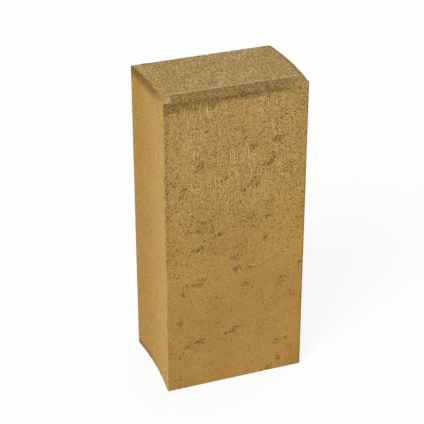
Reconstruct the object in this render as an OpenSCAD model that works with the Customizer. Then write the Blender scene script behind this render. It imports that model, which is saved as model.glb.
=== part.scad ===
// Concrete palisade: a cast upright block for edging beds, steps and small retaining walls.
// It stands on its square-cut foot, with +Z up and its front face towards -Y. One long side
// wall is bowed in and the other is bowed out by the same arc, so that blocks set in a row
// nest into each other. The top is flat, with a shallow bevel all the way round it.
// The origin is the middle of the foot. All sizes are in millimetres.

/* [Block] */
// Width of the front face, which is also the spacing of blocks set in a row
width = 180; // [120:5:400]
// Depth, from the front face to the back face
depth = 120; // [80:5:250]
// Height, from the foot to the flat of the top
height = 400; // [200:10:1500]

/* [Nesting sides] */
// How far each side wall bows between its two upright edges
side_bow = 4; // [2:0.5:15]

/* [Top bevel] */
// How far the bevel reaches in from the walls, measured level
bevel_inset = 12.5; // [4:0.5:25]
// How far the bevel drops from the top to the walls
bevel_drop = 5.5; // [1:0.5:25]

/* [Upright edges] */
// Radius that the mould gives the four upright edges
edge_r = 2; // [0.5:0.5:5]

/* [Hidden] */

$fn = 240;
over = 10; // how far a cutting shape runs past what it cuts

box_w = width + side_bow;
wall_top = height - bevel_drop;
// Radius of the arc that bows by side_bow over a chord as long as the depth
side_r = (depth * depth / 4 + side_bow * side_bow) / (2 * side_bow);
// The two side walls are the same arc, one block width apart
bowed_in_x = side_bow - box_w / 2 - side_r;
bowed_out_x = bowed_in_x + width;
concrete = [0.68, 0.53, 0.31];

// Point at distance r from a side wall's arc centre, as far forward as y
function on_arc(centre_x, r, y) = [centre_x + sqrt(r * r - y * y), y];

// Front and back faces with their bevels: the block seen from its end, run along its width
module front_and_back() {
    rotate([90, 0, 90])
        translate([0, 0, -box_w / 2 - over])
            linear_extrude(box_w + 2 * over)
                polygon([
                    [-depth / 2, 0],
                    [depth / 2, 0],
                    [depth / 2, wall_top],
                    [depth / 2 - bevel_inset, height],
                    [bevel_inset - depth / 2, height],
                    [-depth / 2, wall_top]
                ]);
}

// All that lies within the bowed-out side, with the bevel turned onto its rim
module within_bowed_out_side() {
    translate([bowed_out_x, 0, 0])
        rotate_extrude()
            polygon([
                [0, 0],
                [side_r, 0],
                [side_r, wall_top],
                [side_r - bevel_inset, height],
                [0, height]
            ]);
    // A tight arc is narrower than the block, so the block goes on behind its centre
    translate([-box_w / 2 - over, -depth / 2 - over, 0])
        cube([max(over, bowed_out_x + box_w / 2 + over), depth + 2 * over, height]);
}

// What the bowed-in side takes away, flared at the top to cut its bevel
module bowed_in_side() {
    bevel_slope = bevel_inset / bevel_drop;
    translate([bowed_in_x, 0, 0])
        rotate_extrude()
            polygon([
                [0, -over],
                [side_r, -over],
                [side_r, wall_top],
                [side_r + bevel_inset + over * bevel_slope, height + over],
                [0, height + over]
            ]);
}

// What rounding takes off the front upright edge of a side wall. The rounding is centred
// edge_r behind the front face and centre_r from the wall's arc centre.
module edge_rounding(arc_x, centre_r) {
    round_at = on_arc(arc_x, centre_r, edge_r - depth / 2);
    to_front = [0, -edge_r];
    away = (round_at - [arc_x, 0]) / centre_r * edge_r;
    to_side = centre_r > side_r ? -away : away;
    translate([round_at[0], round_at[1], -over])
        linear_extrude(height + 2 * over)
            difference() {
                polygon([[0, 0], 2 * to_front, 2 * (to_front + to_side), 2 * to_side]);
                circle(edge_r);
            }
}

module palisade() {
    color(concrete)
        difference() {
            intersection() {
                front_and_back();
                within_bowed_out_side();
            }
            bowed_in_side();
            for (half = [0, 1])
                mirror([0, half, 0]) {
                    edge_rounding(bowed_in_x, side_r + edge_r);
                    edge_rounding(bowed_out_x, side_r - edge_r);
                }
        }
}

palisade();
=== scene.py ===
import bpy
import numpy as np
from math import cos, radians, sin
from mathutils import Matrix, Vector


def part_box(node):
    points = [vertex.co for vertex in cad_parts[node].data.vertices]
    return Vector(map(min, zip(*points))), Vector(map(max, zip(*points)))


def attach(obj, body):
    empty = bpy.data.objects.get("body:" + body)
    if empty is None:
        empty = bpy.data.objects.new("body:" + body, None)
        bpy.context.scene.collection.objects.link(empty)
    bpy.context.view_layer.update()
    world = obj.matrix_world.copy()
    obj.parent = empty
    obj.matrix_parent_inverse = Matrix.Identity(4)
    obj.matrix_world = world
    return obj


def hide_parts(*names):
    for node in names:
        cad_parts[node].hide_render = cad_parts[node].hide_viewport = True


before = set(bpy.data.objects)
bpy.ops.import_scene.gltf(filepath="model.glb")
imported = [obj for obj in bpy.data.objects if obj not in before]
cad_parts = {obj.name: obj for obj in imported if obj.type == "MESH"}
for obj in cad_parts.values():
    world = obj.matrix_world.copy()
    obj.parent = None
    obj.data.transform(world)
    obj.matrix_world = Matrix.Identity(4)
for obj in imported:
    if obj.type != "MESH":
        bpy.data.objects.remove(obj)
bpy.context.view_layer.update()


# ---------------------------------------------------------------------------------------------
# Camera. It stands a little left of the block's front and looks down on it, from far enough
# away that the upright edges stay almost parallel.

view_turn = radians(-20.5)
view_tilt = radians(29.05)
view_distance = 1.785
aim_point = Vector((-0.0104, 0, 0.2105))

sensor_mm = 36
lens_mm = 123.0

camera_data = bpy.data.cameras.new("camera")
camera_data.sensor_width = sensor_mm
camera_data.lens = lens_mm
camera = bpy.data.objects.new("camera", camera_data)
level = cos(view_tilt)
toward_camera = Vector((sin(view_turn) * level, -cos(view_turn) * level, sin(view_tilt)))
camera.location = aim_point + view_distance * toward_camera
camera.rotation_euler = toward_camera.to_track_quat("Z", "Y").to_euler()
bpy.context.scene.collection.objects.link(camera)
bpy.context.scene.camera = camera


# ---------------------------------------------------------------------------------------------
# The block. It is cast face-up in a steel mould from damp ochre concrete, so its walls come out
# close and flat, with air pits and drag marks. The fresh top edge is pressed to a bevel.

mm = 0.001
low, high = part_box("palisade")
depth_mm = (high.y - low.y) / mm
height_mm = high.z / mm
side_bow_mm = 4
bevel_inset_mm = 12.5
bevel_drop_mm = 5.5
wall_top_mm = height_mm - bevel_drop_mm
side_r_mm = (depth_mm**2 / 4 + side_bow_mm**2) / (2 * side_bow_mm)
width_mm = 2 * high.x / mm - side_bow_mm
bowed_out_x_mm = high.x / mm - side_r_mm
bowed_in_x_mm = bowed_out_x_mm - width_mm
left_edge_mm = -(width_mm + side_bow_mm) / 2

wear_rng = np.random.default_rng(7)
map_step_mm = 0.5


def soft_noise(rows, cols, cell):
    """A map of smooth random values from -1 to 1, with humps about one cell wide."""
    coarse = wear_rng.uniform(-1, 1, (int(rows / cell) + 3, int(cols / cell) + 3))
    row_at = np.arange(rows) / cell
    col_at = np.arange(cols) / cell
    r0 = row_at.astype(int)
    c0 = col_at.astype(int)
    r = (row_at - r0)[:, None]
    c = (col_at - c0)[None, :]
    r = r * r * (3 - 2 * r)
    c = c * c * (3 - 2 * c)
    lower = coarse[r0][:, c0] * (1 - c) + coarse[r0][:, c0 + 1] * c
    upper = coarse[r0 + 1][:, c0] * (1 - c) + coarse[r0 + 1][:, c0 + 1] * c
    return lower * (1 - r) + upper * r


class Face:
    """One face of the block, as two maps over it: how deep it is worn, and how torn its skin is."""

    def __init__(self, across_mm, up_mm):
        self.rows = int(up_mm / map_step_mm) + 2
        self.cols = int(across_mm / map_step_mm) + 2
        self.across_mm = across_mm
        self.up_mm = up_mm
        self.depth = np.zeros((self.rows, self.cols))
        self.torn = np.zeros((self.rows, self.cols))

    def roll(self, cell_mm, deep_mm):
        """Slow dips, as a mould and a trowel leave them."""
        noise = soft_noise(self.rows, self.cols, cell_mm / map_step_mm)
        self.depth += deep_mm * (noise + 1) / 2

    def dent(self, layer, across_mm, up_mm, long_mm, wide_mm, turn, amount):
        """One oval bowl in a map. Where bowls meet, the deeper one shows."""
        reach = int(long_mm / map_step_mm) + 2
        col = int(across_mm / map_step_mm)
        row = int(up_mm / map_step_mm)
        c0, c1 = max(0, col - reach), min(self.cols, col + reach + 1)
        r0, r1 = max(0, row - reach), min(self.rows, row + reach + 1)
        if c0 >= c1 or r0 >= r1:
            return
        u = np.arange(c0, c1)[None, :] * map_step_mm - across_mm
        v = np.arange(r0, r1)[:, None] * map_step_mm - up_mm
        along = (u * cos(turn) + v * sin(turn)) / long_mm
        aside = (v * cos(turn) - u * sin(turn)) / wide_mm
        bowl = np.clip(1 - along**2 - aside**2, 0, 1)
        patch = layer[r0:r1, c0:c1]
        np.maximum(patch, patch * 0.5 + bowl * amount, out=patch)

    def air_pits(self, count, size_mm, deep_mm, likely):
        """Round pits that air left against the mould, where likely(across, up) from 0 to 1 lets them."""
        for _ in range(count):
            across = wear_rng.uniform(0, self.across_mm)
            up = wear_rng.uniform(0, self.up_mm)
            size = size_mm * (0.5 + wear_rng.random() ** 2)
            squash = wear_rng.uniform(0.5, 1)
            turn = wear_rng.uniform(0, 3.14)
            deep = deep_mm * wear_rng.uniform(0.4, 1)
            if wear_rng.random() < likely(across, up):
                self.dent(self.depth, across, up, size, size * squash, turn, deep)

    def tear(self, across_mm, up_mm, long_mm, spread_mm, turn):
        """A torn place: bunches of small pits along a slanting line, with crumbled skin round them."""
        bunch_mm = 8
        bunches = max(1, round(long_mm / bunch_mm))
        for bunch in range(bunches):
            middle = ((bunch + wear_rng.uniform(0.2, 0.8)) / bunches - 0.5) * long_mm
            off = wear_rng.normal(0, spread_mm * 0.5)
            for _ in range(wear_rng.integers(5, 11)):
                step = middle + wear_rng.normal(0, 3)
                aside = off + wear_rng.normal(0, 1.9)
                across = across_mm + step * cos(turn) - aside * sin(turn)
                up = up_mm + step * sin(turn) + aside * cos(turn)
                size = wear_rng.uniform(0.7, 1.5)
                lean = turn + wear_rng.normal(0, 0.4)
                deep = wear_rng.uniform(0.3, 1.1)
                self.dent(self.depth, across, up, size * 1.3, size * 0.85, lean, deep)
                crumbled = wear_rng.uniform(0.3, 1)
                self.dent(self.torn, across, up, size * 2.8, size * 2.0, lean, crumbled)

    def read(self, layer, across_mm, up_mm):
        """The values of a map at many places, smoothly between its steps."""
        col = np.clip(across_mm / map_step_mm, 0, self.cols - 1.001)
        row = np.clip(up_mm / map_step_mm, 0, self.rows - 1.001)
        c0 = col.astype(int)
        r0 = row.astype(int)
        c = col - c0
        r = row - r0
        lower = layer[r0, c0] * (1 - c) + layer[r0, c0 + 1] * c
        upper = layer[r0 + 1, c0] * (1 - c) + layer[r0 + 1, c0 + 1] * c
        return lower * (1 - r) + upper * r


drag_turn = radians(22)

# Where the front skin tore on its way out of the mould: how far across and up, how long and how
# loose each torn place is
front_tears = (
    (129, 300, 12, 3), (42, 309, 14, 4), (100, 336, 10, 3), (106, 322, 10, 2), (142, 331, 12, 4),
    (105, 270, 20, 4), (48, 235, 26, 7), (129, 225, 9, 1.5), (67, 212, 8, 2),
    (39, 196, 14, 3), (126, 196, 8, 3), (5, 190, 8, 3), (90, 178, 6, 2),
    (88, 160, 12, 1.5), (174, 154, 10, 2), (32, 148, 36, 4.5), (103, 138, 6, 2),
    (148, 128, 20, 5), (174, 105, 8, 3), (18, 99, 8, 2.5), (86, 73, 17, 1.5),
    (32, 61, 36, 4.5), (149, 38, 20, 4), (144, 11, 20, 1.5), (18, 12, 8, 2.5),
)


def mould_face(pits):
    """The front or the back, as it comes out of the mould, with more pits higher up."""
    face = Face(width_mm, height_mm)
    face.roll(45, 0.15)
    face.roll(9, 0.05)
    face.air_pits(pits, 1.3, 0.9, lambda across, up: 0.06 + 0.5 * (up / height_mm) ** 2)
    face.air_pits(60, 2.0, 1.3, lambda across, up: 0.6)
    return face


def front_face():
    face = mould_face(2600)
    for across, up, long, spread in front_tears:
        face.tear(across, up, long, spread, drag_turn + wear_rng.normal(0, 0.1))
    return face


def back_face():
    face = mould_face(2200)
    for step in range(14):
        across = wear_rng.uniform(0.06, 0.94) * width_mm
        up = (step + wear_rng.uniform(0.1, 0.9)) * height_mm / 15
        long = wear_rng.uniform(6, 26)
        face.tear(across, up, long, wear_rng.uniform(1.5, 4), drag_turn + wear_rng.normal(0, 0.1))
    return face


def side_face():
    face = Face(depth_mm, height_mm)
    face.roll(60, 0.15)
    face.roll(12, 0.04)
    face.air_pits(300, 1.2, 0.7, lambda across, up: 0.5)
    return face


def top_face():
    face = Face(width_mm + 2 * side_bow_mm, depth_mm)
    face.roll(30, 0.2)
    face.roll(5, 0.2)
    face.roll(3.1, 0.4)
    face.roll(1.8, 0.6)
    face.air_pits(500, 1.4, 1.0, lambda across, up: 0.6)
    return face


def wall_distances(x, y):
    """How far points are in from the front, back, bowed-in and bowed-out walls, in millimetres."""
    return (
        y + depth_mm / 2,
        depth_mm / 2 - y,
        np.hypot(x - bowed_in_x_mm, y) - side_r_mm,
        side_r_mm - np.hypot(x - bowed_out_x_mm, y),
    )


def edge_wear(x, y, z):
    """How much the upright edges, the rim under the bevel and the foot are knocked off."""
    front, back, bowed_in, bowed_out = wall_distances(x, y)
    side = np.minimum(bowed_in, bowed_out)
    face = np.minimum(front, back)
    wall = np.minimum(side, face)
    upright = np.clip(1 - np.hypot(side, face) / 3, 0, 1)
    rim = np.clip(1 - np.hypot(wall, z - wall_top_mm) / 3, 0, 1)
    foot = np.clip(1 - np.hypot(wall, z) / 2, 0, 1)
    # One map of chips for the whole block, whose columns run on round each corner
    rows = 900
    cols = 300
    rows_per_mm = 2
    below_foot_mm = 20
    middle_col = 160
    chips = soft_noise(rows, cols, 9) * 0.6 + soft_noise(rows, cols, 3) * 0.6
    chips = np.clip(chips, 0, 1) ** 1.5
    row = np.clip((z + below_foot_mm) * rows_per_mm, 0, rows - 1).astype(int)
    col = np.clip(x + y + middle_col, 0, cols - 1).astype(int)
    chip = chips[row, col]
    return upright * (0.1 + 0.7 * chip) + rim * (0.1 + 0.5 * chip) + foot * 0.3 * chip


grid_mm = 0.85
most_triangles = 190000
snug_mm = 0.01


def fine_block(cad):
    """The block's own solid, remeshed finely, worn, and thinned out where it stays flat."""
    block = bpy.data.objects.new("block", cad.data.copy())
    block.data.materials.clear()
    bpy.context.scene.collection.objects.link(block)
    remesh = block.modifiers.new("fine grid", "REMESH")
    remesh.mode = "VOXEL"
    remesh.voxel_size = grid_mm * mm
    bpy.context.view_layer.update()
    graph = bpy.context.evaluated_depsgraph_get()
    fine = bpy.data.meshes.new_from_object(block.evaluated_get(graph))
    block.modifiers.clear()
    block.data = fine

    x, y, z, facing = read_mesh(fine)
    faces = (
        (front_face(), np.clip(-facing[:, 1], 0, 1), (0, 1, 0), x + width_mm / 2, z),
        (back_face(), np.clip(facing[:, 1], 0, 1), (0, -1, 0), x + width_mm / 2, z),
        (side_face(), np.clip(-facing[:, 0], 0, 1), (1, 0, 0), y + depth_mm / 2, z),
        (side_face(), np.clip(facing[:, 0], 0, 1), (-1, 0, 0), y + depth_mm / 2, z),
        (top_face(), np.clip(facing[:, 2], 0, 1), (0, 0, -1), x - left_edge_mm, y + depth_mm / 2),
    )
    worn = np.stack([x, y, z], 1) - facing * edge_wear(x, y, z)[:, None]
    torn = np.zeros(len(x))
    sunk = np.zeros(len(x))
    for face, share, inward, across, up in faces:
        depth = share * face.read(face.depth, across, up)
        worn += depth[:, None] * np.array(inward)
        torn += share * face.read(face.torn, across, up)
        sunk += depth
    worn = np.clip(worn, np.array(low) / mm + snug_mm, np.array(high) / mm - snug_mm)
    fine.vertices.foreach_set("co", (worn * mm).ravel())
    for name, values in (("torn", torn), ("sunk", sunk)):
        layer = fine.attributes.new(name, "FLOAT", "POINT")
        layer.data.foreach_set("value", values.astype(np.float32))
    fine.update()

    thin = block.modifiers.new("thin out", "DECIMATE")
    triangles = sum(len(p.vertices) - 2 for p in fine.polygons)
    thin.ratio = most_triangles / triangles
    thin.use_collapse_triangulate = True
    bpy.context.view_layer.update()
    graph = bpy.context.evaluated_depsgraph_get()
    final = bpy.data.meshes.new_from_object(block.evaluated_get(graph))
    block.modifiers.clear()
    block.data = final
    final.name = "block"
    for polygon in final.polygons:
        polygon.use_smooth = True
    return block


def read_mesh(mesh):
    """The points of a mesh in millimetres, as x, y and z, and the directions they face."""
    points = np.zeros(len(mesh.vertices) * 3, np.float32)
    facing = np.zeros(len(mesh.vertices) * 3, np.float32)
    mesh.vertices.foreach_get("co", points)
    mesh.vertex_normals.foreach_get("vector", facing)
    x, y, z = points.reshape(-1, 3).T.astype(float) / mm
    return x, y, z, facing.reshape(-1, 3).astype(float)


class Shade:
    """One output of a shader node, so that shader maths reads as Python maths."""

    def __init__(self, tree, output):
        self.tree = tree
        self.output = output

    def node(self, kind, settings=None, sockets=None, out=0):
        """Makes any node: its settings first, then the values or links of its sockets.

        Gives back the output asked for, or a list of them.
        """
        new = self.tree.nodes.new(kind)
        for name, value in (settings or {}).items():
            if name == "stops":
                ramp = new.color_ramp
                while len(ramp.elements) < len(value):
                    ramp.elements.new(1)
                for element, (place, colour) in zip(ramp.elements, value):
                    element.position = place
                    element.color = colour
            else:
                setattr(new, name, value)
        for name, value in (sockets or {}).items():
            if isinstance(value, Shade):
                self.tree.links.new(value.output, new.inputs[name])
            else:
                new.inputs[name].default_value = value
        if isinstance(out, tuple):
            return [Shade(self.tree, new.outputs[one]) for one in out]
        return Shade(self.tree, new.outputs[out] if new.outputs else None)

    def math(self, operation, a, b=0.0):
        return self.node("ShaderNodeMath", {"operation": operation}, {0: a, 1: b})

    def __add__(self, other):
        return self.math("ADD", self, other)

    __radd__ = __add__

    def __sub__(self, other):
        return self.math("SUBTRACT", self, other)

    def __rsub__(self, other):
        return self.math("SUBTRACT", other, self)

    def __mul__(self, other):
        return self.math("MULTIPLY", self, other)

    __rmul__ = __mul__

    def __pow__(self, other):
        return self.math("POWER", self, other)

    def least(self, other):
        return self.math("MINIMUM", self, other)

    def most(self, other):
        return self.math("MAXIMUM", self, other)

    def rise(self, start, end):
        """0 up to start, 1 from end on, and smooth between."""
        sockets = {"Value": self, "From Min": start, "From Max": end}
        return self.node("ShaderNodeMapRange", {"interpolation_type": "SMOOTHSTEP"}, sockets)

    def noise(self, size_mm, detail=2.0):
        """Smooth random values round 0.5, from this place, with humps about size_mm wide."""
        sockets = {"Vector": self, "Scale": 1 / size_mm, "Detail": detail}
        return self.node("ShaderNodeTexNoise", {}, sockets)

    def grains(self, size_mm):
        """Packed grains: how far from its grain's middle a place is, and three random values of it."""
        sockets = {"Vector": self, "Scale": 1 / size_mm}
        middle, tint = self.node("ShaderNodeTexVoronoi", {}, sockets, (0, 1))
        return [middle] + self.node("ShaderNodeSeparateColor", {}, {0: tint}, (0, 1, 2))

    def shaken(self, size_mm, far_mm):
        """This place shifted about by up to far_mm, so that outlines drawn from it turn ragged."""
        sway = self.node("ShaderNodeTexNoise", {}, {"Vector": self, "Scale": 1 / size_mm}, 1)
        sway = sway.node("ShaderNodeVectorMath", {"operation": "SUBTRACT"}, {0: sway, 1: (0.5, 0.5, 0.5)})
        sway = sway.node("ShaderNodeVectorMath", {"operation": "SCALE"}, {0: sway, "Scale": 2 * far_mm})
        return self.node("ShaderNodeVectorMath", {"operation": "ADD"}, {0: self, 1: sway})

    def blend(self, start, end):
        """Goes from one colour to another as this value goes from 0 to 1."""
        settings = {"data_type": "RGBA", "clamp_factor": True}
        return self.node("ShaderNodeMix", settings, {0: self, 6: start, 7: end}, 2)

    def tint(self, colour, dye):
        """Dyes a colour as this value goes from 0 to 1, and keeps its grain."""
        settings = {"data_type": "RGBA", "blend_type": "MULTIPLY", "clamp_factor": True}
        return self.node("ShaderNodeMix", settings, {0: self, 6: colour, 7: dye}, 2)

    def stretch(self, longer, move=(0, 0, 0), slant=0.0):
        """This place for marks that are longer along x, y and z, moved, and slanting up to the right."""
        sockets = {"Vector": self, "Scale": longer, "Location": move, "Rotation": (0, -slant, 0)}
        return self.node("ShaderNodeMapping", {"vector_type": "TEXTURE"}, sockets)


def rgb(red, green, blue):
    """A colour as a printer would write it, from 0 to 255, in Blender's linear light."""
    parts = [c / 255 for c in (red, green, blue)]
    return tuple(c / 12.92 if c <= 0.04045 else ((c + 0.055) / 1.055) ** 2.4 for c in parts) + (1,)


skin = rgb(175, 135, 67)
skin_pale = rgb(184, 142, 69)
skin_deep = rgb(170, 130, 63)
skin_sandy = rgb(189, 151, 90)
painted_side_light_tone = rgb(210, 168, 97)
painted_pit_shade = rgb(48, 36, 14)
painted_lip_highlight = rgb(232, 203, 148)
sand_deep = rgb(64, 48, 24)
sand = rgb(164, 133, 82)
sand_pale = rgb(238, 206, 152)
# Darkening tints, for the skin's own darker marks and also for painted shade
dark_tone_and_shade = (0.59, 0.57, 0.50, 1)
deep_tone_and_shade = (0.50, 0.48, 0.42, 1)


def cast_concrete():
    material = bpy.data.materials.new("ochre_concrete")
    material.use_nodes = True
    tree = material.node_tree
    tree.nodes.clear()
    start = Shade(tree, None)
    metres = start.node("ShaderNodeTexCoord", out=3)
    place = start.node("ShaderNodeVectorMath", {"operation": "SCALE"}, {0: metres, "Scale": 1 / mm})
    x, y, z = start.node("ShaderNodeSeparateXYZ", {}, {0: place}, (0, 1, 2))
    torn = start.node("ShaderNodeAttribute", {"attribute_name": "torn"}, out=2)
    sunk = start.node("ShaderNodeAttribute", {"attribute_name": "sunk"}, out=2)

    # Where on the block a point lies: millimetres in from each wall, and which surface it is on
    from_front = y + depth_mm / 2
    from_back = depth_mm / 2 - y
    across_in = x - bowed_in_x_mm
    across_out = x - bowed_out_x_mm
    from_left = (across_in * across_in + y * y) ** 0.5 - side_r_mm
    from_right = side_r_mm - (across_out * across_out + y * y) ** 0.5
    from_side = from_left.least(from_right)
    from_face = from_front.least(from_back)
    from_wall = from_side.least(from_face)
    on_top = (z - wall_top_mm).rise(-0.5, 0.5)
    below_top = 1 - on_top
    on_face = (from_side - from_face).rise(-0.4, 0.4)
    on_side = 1 - on_face
    on_front = on_face * (from_back - from_front).rise(-1, 1)
    on_right = on_side * (from_left - from_right).rise(-1, 1)
    on_flat = (from_wall - bevel_inset_mm).rise(-0.7, 0.7) * on_top
    on_bevel = on_top - on_flat

    # The skin of the walls is close cement paste, clouded, with a faint grain
    clouds = place.noise(80, 2) * 0.65 + place.noise(18, 3) * 0.35
    clouds = clouds + z.rise(60, 230) * 0.12 - 0.06
    colour = clouds.rise(0.36, 0.5).blend(skin_deep, skin)
    colour = clouds.rise(0.5, 0.64).blend(colour, skin_pale)
    grain_middle, grain_tone = place.grains(0.9)[:2]
    sand_stops = [(0.0, sand_deep), (0.32, sand), (0.68, sand), (1.0, sand_pale)]
    grain = start.node("ShaderNodeValToRGB", {"stops": sand_stops}, {"Fac": grain_tone})
    # Gaps between the grains are painted darker, as painted shade
    grain = (grain_middle.rise(0.45, 0.85) * 0.4).blend(grain, sand_deep)

    # The bowed-in side is painted lighter towards the front and darker towards the back, as painted
    # light and shade. It is darker under its top edge, and has painted shade along its foot at the back
    on_left = on_side - on_right
    # Painted light and shade: paler towards the front, deeper towards the back
    colour = (from_front.rise(20, 110) * on_left * 0.7).blend(colour, skin_deep)
    painted_side_light = (1 - from_front.rise(0, 105)) * on_left * below_top
    colour = (painted_side_light * 0.66).blend(colour, painted_side_light_tone)
    # A ragged darker band under the top edge, deepest and darkest towards the back
    under_rim = wall_top_mm - z
    ragged = place.noise(14, 4) - 0.5
    stain_depth = from_front.rise(-10, 50) * 13
    darker_under_rim = 1 - (under_rim - stain_depth + ragged * 9).rise(-8, 4)
    darker_under_rim = darker_under_rim * (0.3 + from_front.rise(0, 60) * 0.7)
    # A thin line of painted shade just under the rim, in the back half
    darker_under_rim = darker_under_rim.most((1 - under_rim.rise(1, 4.5)) * from_front.rise(30, 90))
    darker_under_rim = darker_under_rim * on_left * below_top
    # Painted shade along the foot, towards the back
    painted_foot_shade = (1 - (z + ragged * 4).rise(0, 14)) * from_front.rise(35, 90) * on_left

    # Sand shows through the upper half of the faces, and everywhere on the top
    sand_height = z - x * 0.17 + (place.noise(24, 4) - 0.5) * 110
    sandy = sand_height.rise(130, 270) * on_face
    colour = (sand_height.rise(200, 350) * on_face * 0.5).blend(colour, skin_sandy)
    colour = (0.13 + sandy * 0.11 - on_left * 0.06 + painted_side_light * 0.16).blend(colour, grain)
    colour = (on_top * 0.9).blend(colour, grain)
    rough_skin = (0.53 - place.noise(1.2, 2)).most(0) * below_top
    colour = (rough_skin * (0.7 + sandy * 0.25 + on_side * 0.6)).tint(colour, dark_tone_and_shade)

    # The side walls are finely mottled, darker and paler
    mottle = place.noise(3.2, 4)
    colour = ((0.5 - mottle).most(0) * on_side * 2.2).tint(colour, dark_tone_and_shade)
    colour = ((mottle - 0.5).most(0) * on_side * 0.9).blend(colour, skin_sandy)

    # The mould combed the upper part of the front and the back as it was drawn off upwards
    comb = place.stretch((1, 1, 33)).noise(1.0, 1)
    combed = z.rise(200, 290) * (from_side - 8 + ragged * 50).rise(0, 30)
    combed = combed * on_face * below_top
    combed = combed * place.stretch((1, 1, 2.5), (9, 9, 9)).noise(26, 2).rise(0.32, 0.56)
    colour = (comb.rise(0.54, 0.64) * combed * 0.34).blend(colour, sand_pale)
    colour = ((1 - comb.rise(0.34, 0.45)) * combed * 0.36).tint(colour, dark_tone_and_shade)

    # Under the rim run a thin line of painted shade and a ragged darker band, which die out to the right
    rim_line = under_rim.rise(0.5, 2.5) * (1 - under_rim.rise(3, 5.5)) * from_right.rise(5, 60)
    rim_deep = 12 + (place.noise(45, 3) - 0.5) * 22 - x * 0.03
    rim_band = 1 - (under_rim - rim_deep + ragged * 10).rise(-7, 3)
    rim_band = rim_band * from_right.rise(6, 40) * on_face

    # Specks: small pits with dark floors of painted shade and pale lips of painted highlight, in drifts
    # that slant up to the right. They crowd in torn places and deep pits, in sandy skin and down the
    # front's left edge
    drift = place.stretch((1.6, 1, 0.7), (0, 0, 0), drag_turn).noise(16, 3)
    edge_strip = (1 - from_left.rise(3, 8)) * on_front * z.rise(150, 230)
    likely = 0.015 + on_side * 0.02 + sandy * 0.072
    likely = likely + (drift - 0.52).most(0) * (0.3 + sandy * 0.25) * on_face
    likely = (likely + edge_strip * 0.07 + rim_band * 0.035) * (0.7 + on_face * 0.3)
    likely = likely + torn * (0.22 + sandy * 0.04) + sunk.rise(0.45, 1.2) * 0.35
    pit_place = place.shaken(1.1, 0.7).stretch((1.4, 1, 1), (17, 5, 9), drag_turn)
    pit_middle, pit_pick, pit_shade, pit_size = pit_place.grains(1.3)
    pit_edge = pit_middle - 0.24 - pit_size * 0.42
    picked = (likely * 1.5 - pit_pick).rise(0, 0.01)
    speck = picked * (1 - pit_edge.rise(-0.1, 0.05))
    lip = picked * (1 - pit_edge.rise(0.05, 0.22)) * (1 - speck)
    fine_pit = (likely * 1.9 - grain_tone).rise(0, 0.01) * (1 - grain_middle.rise(0.4, 0.6))
    speck = speck.most(fine_pit)
    colour = (torn * below_top * 0.2).tint(colour, dark_tone_and_shade)
    # Pale lips as painted highlight, then dark pit floors as painted shade
    colour = (lip * below_top * 0.9).blend(colour, painted_lip_highlight)
    colour = (speck * below_top * (0.75 + pit_shade * 0.25)).blend(colour, painted_pit_shade)

    # The pressed bevel is coloured dark, except where its left front corner is rubbed. On the bowed-out
    # side only its outer part is darkened, as painted shade, and its inner part is painted paler, as
    # painted light that offsets its shade
    corner_worn = (1 - (from_left + ragged * 6).rise(8, 13)) * on_front
    outer_strip = on_right * (1 - from_right.rise(5, 10))
    front_dark = on_face * (1 - corner_worn) * (0.42 + from_right.rise(4, 30) * 0.34)
    bevel_dark = on_bevel * (front_dark + outer_strip * 0.5)
    colour = (bevel_dark * 0.12 + on_bevel * (on_side * 0.15 + outer_strip * 0.4)).blend(colour, skin)
    # Painted light: the inner part of the bowed-out bevel is lightened against its shade
    colour = (on_bevel * (on_right - outer_strip) * 0.1).blend(colour, sand_pale)
    dark = bevel_dark + (rim_line * 0.4 + rim_band * 0.8) * on_face * below_top + edge_strip * 0.25
    colour = dark.tint(colour, dark_tone_and_shade)
    darker_under_rim = darker_under_rim * (1.0 - under_rim.rise(0, 22) * 0.4)
    colour = darker_under_rim.most(painted_foot_shade * 0.7).tint(colour, deep_tone_and_shade)

    # The front's left edge is chipped pale low down, its right edge and lower right corner stay
    # dark, and the edge of the flat top rubs pale
    arris = (1 - from_side.most(from_face).rise(1.2, 3.2)) * below_top
    # Painted shade on the left wall's upright edges, which catch more of the key light
    colour = (arris * on_left * 0.3).tint(colour, dark_tone_and_shade)
    chipped = (1 - from_front.rise(1, 5)) * (1 - z.rise(120, 240)) * on_left
    chipped = chipped * grain_tone.rise(0.5, 0.9)
    colour = (chipped * 0.4).blend(colour, sand_pale)
    colour = ((1 - from_right.rise(1, 3.5)) * on_front * below_top * 0.35).tint(colour, deep_tone_and_shade)
    foot_corner = (1 - from_right.rise(4, 30)) * (1 - (z + ragged * 30).rise(5, 60))
    colour = (foot_corner * on_front * 0.42).tint(colour, dark_tone_and_shade)
    top_arris = (1 - (from_front - bevel_inset_mm - 1).rise(0, 3)) * on_flat
    colour = (top_arris * 0.22).blend(colour, sand_pale)
    colour = (corner_worn * on_bevel * 0.2).blend(colour, sand_pale)

    # Grains, specks and combing stand out or lie back by up to about half a millimetre
    height = grain_middle * -0.3 * (0.15 + on_top * 0.35)
    height = height - speck * 0.9 * below_top + comb * combed * 0.3
    bump = start.node("ShaderNodeBump", {}, {"Strength": 0.7, "Distance": 0.6 * mm, "Height": height})
    roughness = 0.84 + grain_tone * 0.12
    surface = start.node(
        "ShaderNodeBsdfPrincipled",
        {},
        {"Base Color": colour, "Roughness": roughness, "Normal": bump, "Specular IOR Level": 0.1},
    )
    start.node("ShaderNodeOutputMaterial", {}, {"Surface": surface})
    return material


block = fine_block(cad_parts["palisade"])
block.data.materials.append(cast_concrete())
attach(block, "root")
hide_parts("palisade")


# ---------------------------------------------------------------------------------------------
# Studio. A pale floor runs out of sight under soft light from all round, with a broad sun from
# the left and a weak one from behind on the right. The floor looks white but keeps the shadow.

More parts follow.
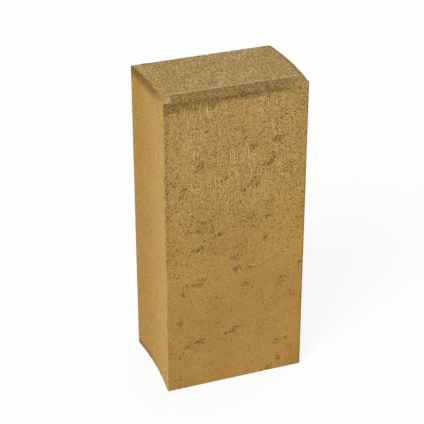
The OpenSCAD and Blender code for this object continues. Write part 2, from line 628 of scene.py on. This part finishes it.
floor_half = 6.0
just_below = -0.0002
floor_mesh = bpy.data.meshes.new("floor")
corner_signs = ((-1, -1), (1, -1), (1, 1), (-1, 1))
corners = [(across * floor_half, deep * floor_half, 0) for across, deep in corner_signs]
floor_mesh.from_pydata(corners, [], [(0, 1, 2, 3)])
floor = bpy.data.objects.new("floor", floor_mesh)
floor.location.z = just_below
bpy.context.scene.collection.objects.link(floor)

white = (1, 1, 1, 1)
off_white = (0.95, 0.95, 0.95, 1)
floor_glow = 0.86


def looked_at(start):
    """1 for rays from the camera, a mirror or glass, and 0 for those that only carry light."""
    to_camera, to_mirror, to_glass = start.node("ShaderNodeLightPath", out=(0, 3, 6))
    return to_camera.most(to_mirror).most(to_glass)


def pale_floor():
    material = bpy.data.materials.new("pale_floor")
    material.use_nodes = True
    tree = material.node_tree
    tree.nodes.clear()
    start = Shade(tree, None)
    paint = start.node("ShaderNodeBsdfDiffuse", {}, {"Color": off_white})
    glow = start.node("ShaderNodeEmission", {}, {"Color": white, "Strength": 1.0})
    share = looked_at(start) * floor_glow
    mixed = start.node("ShaderNodeMixShader", {}, {0: share, 1: paint, 2: glow})
    start.node("ShaderNodeOutputMaterial", {}, {"Surface": mixed})
    return material


floor_mesh.materials.append(pale_floor())

world = bpy.data.worlds.new("studio")
world.use_nodes = True
bpy.context.scene.world = world
sky = world.node_tree
sky.nodes.clear()
sky_start = Shade(sky, None)
plain_light = sky_start.node("ShaderNodeBackground", {}, {"Color": white, "Strength": 0.4})
white_back = sky_start.node("ShaderNodeBackground", {}, {"Color": white, "Strength": 1.0})
sky_sockets = {0: looked_at(sky_start), 1: plain_light, 2: white_back}
sky_mix = sky_start.node("ShaderNodeMixShader", {}, sky_sockets)
sky_start.node("ShaderNodeOutputWorld", {}, {"Surface": sky_mix})


def soft_light(name, comes_from, power, spread):
    """A sun that shines from comes_from, spread over that many degrees so that shadows stay soft."""
    light = bpy.data.lights.new(name, "SUN")
    light.energy = power
    light.angle = radians(spread)
    lamp = bpy.data.objects.new(name, light)
    lamp.rotation_euler = Vector(comes_from).to_track_quat("Z", "Y").to_euler()
    bpy.context.scene.collection.objects.link(lamp)


soft_light("key", (-0.60, -0.45, 0.66), 2.3, 30)
soft_light("fill", (0.65, 0.50, 0.45), 0.8, 80)

bpy.context.scene.view_settings.view_transform = "Standard"
